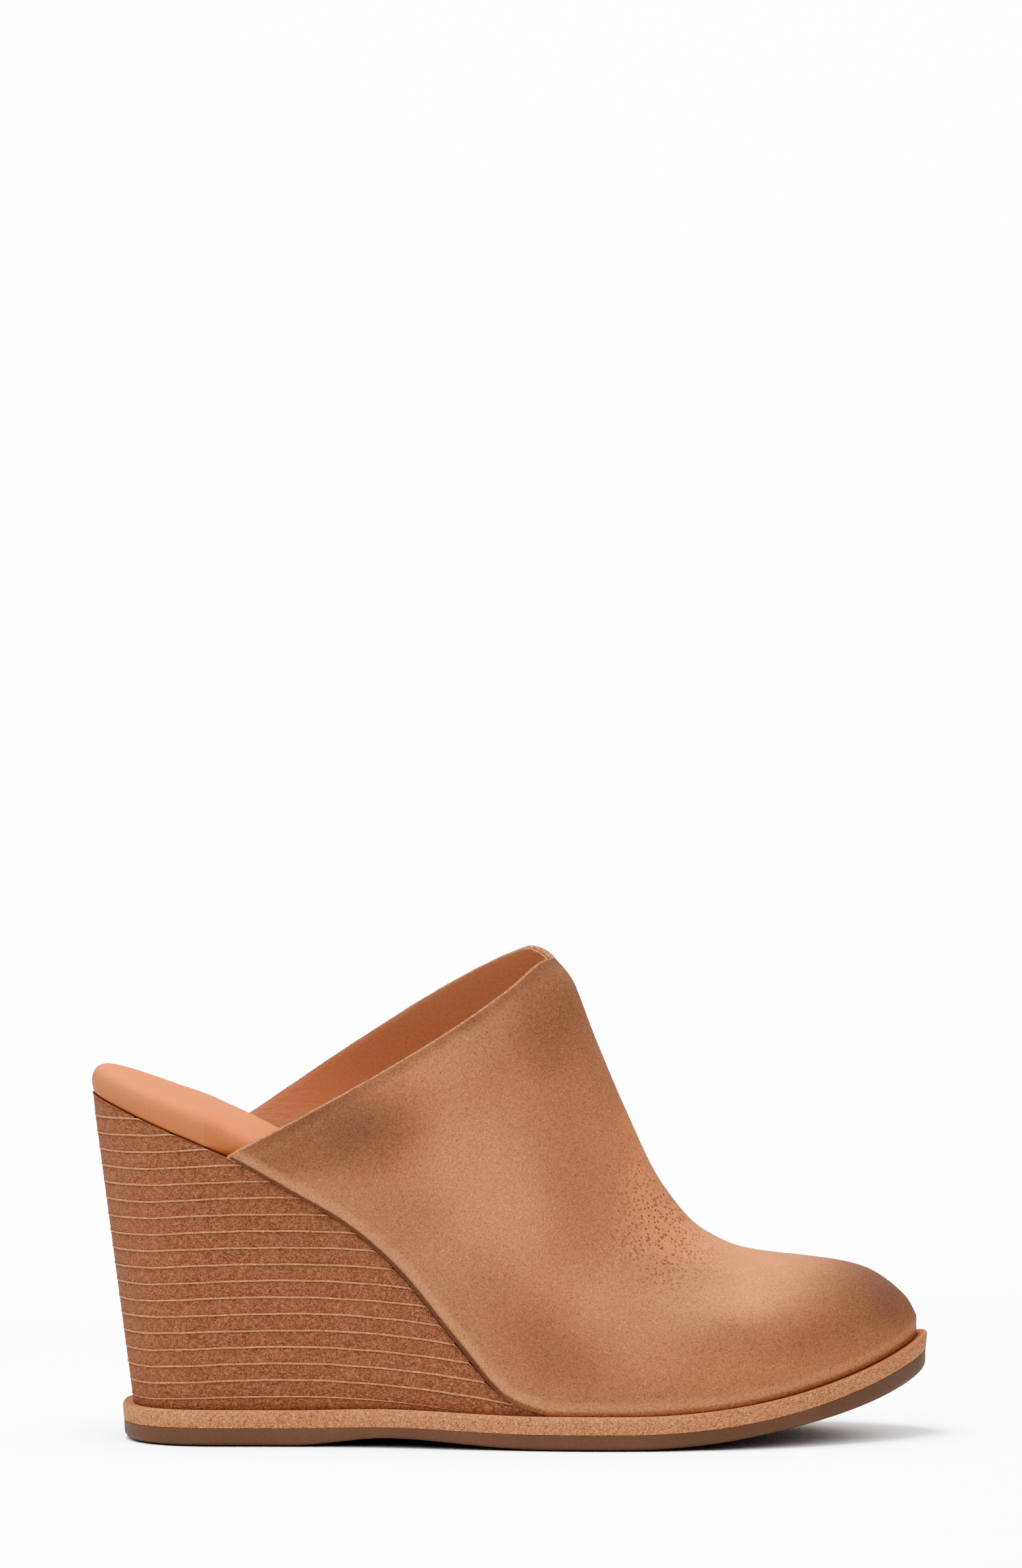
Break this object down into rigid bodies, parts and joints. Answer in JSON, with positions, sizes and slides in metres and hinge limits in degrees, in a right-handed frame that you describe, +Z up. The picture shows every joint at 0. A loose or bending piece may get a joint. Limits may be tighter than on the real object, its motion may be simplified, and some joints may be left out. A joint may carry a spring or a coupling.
{
  "type": "wedge mule",
  "caption": "Closed-toe leather mule with a slanted raw topline, an open back, a high wedge of stacked leather lifts and a ledged midsole on a thin rubber outsole",
  "frame": {"origin": "on the floor, under the middle of the shoe's length and width", "axes": "+X from heel to toe, +Y to the inner (medial) side, +Z up"},
  "size_m": [0.2354, 0.088, 0.1384],
  "materials": {
    "outsole_rubber": "matt dark-brown rubber, smooth edge",
    "midsole_leather": "raw fibrous cut edge, smooth tan top",
    "stacked_leather": "sanded leather board with light seam lines",
    "insole_leather": "smooth vegetable-tanned leather over padding",
    "upper_leather": "burnished tan leather, smooth lining, raw topline edge"
  },
  "bodies": {
    "root": {"outsole": "outsole_rubber", "midsole": "midsole_leather", "wedge_lift_01": "stacked_leather", "wedge_lift_02": "stacked_leather", "wedge_lift_03": "stacked_leather", "wedge_lift_04": "stacked_leather", "wedge_lift_05": "stacked_leather", "wedge_lift_06": "stacked_leather", "wedge_lift_07": "stacked_leather", "wedge_lift_08": "stacked_leather", "wedge_lift_09": "stacked_leather", "wedge_lift_10": "stacked_leather", "wedge_lift_11": "stacked_leather", "wedge_lift_12": "stacked_leather", "wedge_lift_13": "stacked_leather", "wedge_lift_14": "stacked_leather", "wedge_lift_15": "stacked_leather", "wedge_lift_16": "stacked_leather", "wedge_lift_17": "stacked_leather", "wedge_lift_18": "stacked_leather", "wedge_lift_19": "stacked_leather", "insole": "insole_leather", "upper": "upper_leather"}
  },
  "joints": []
}
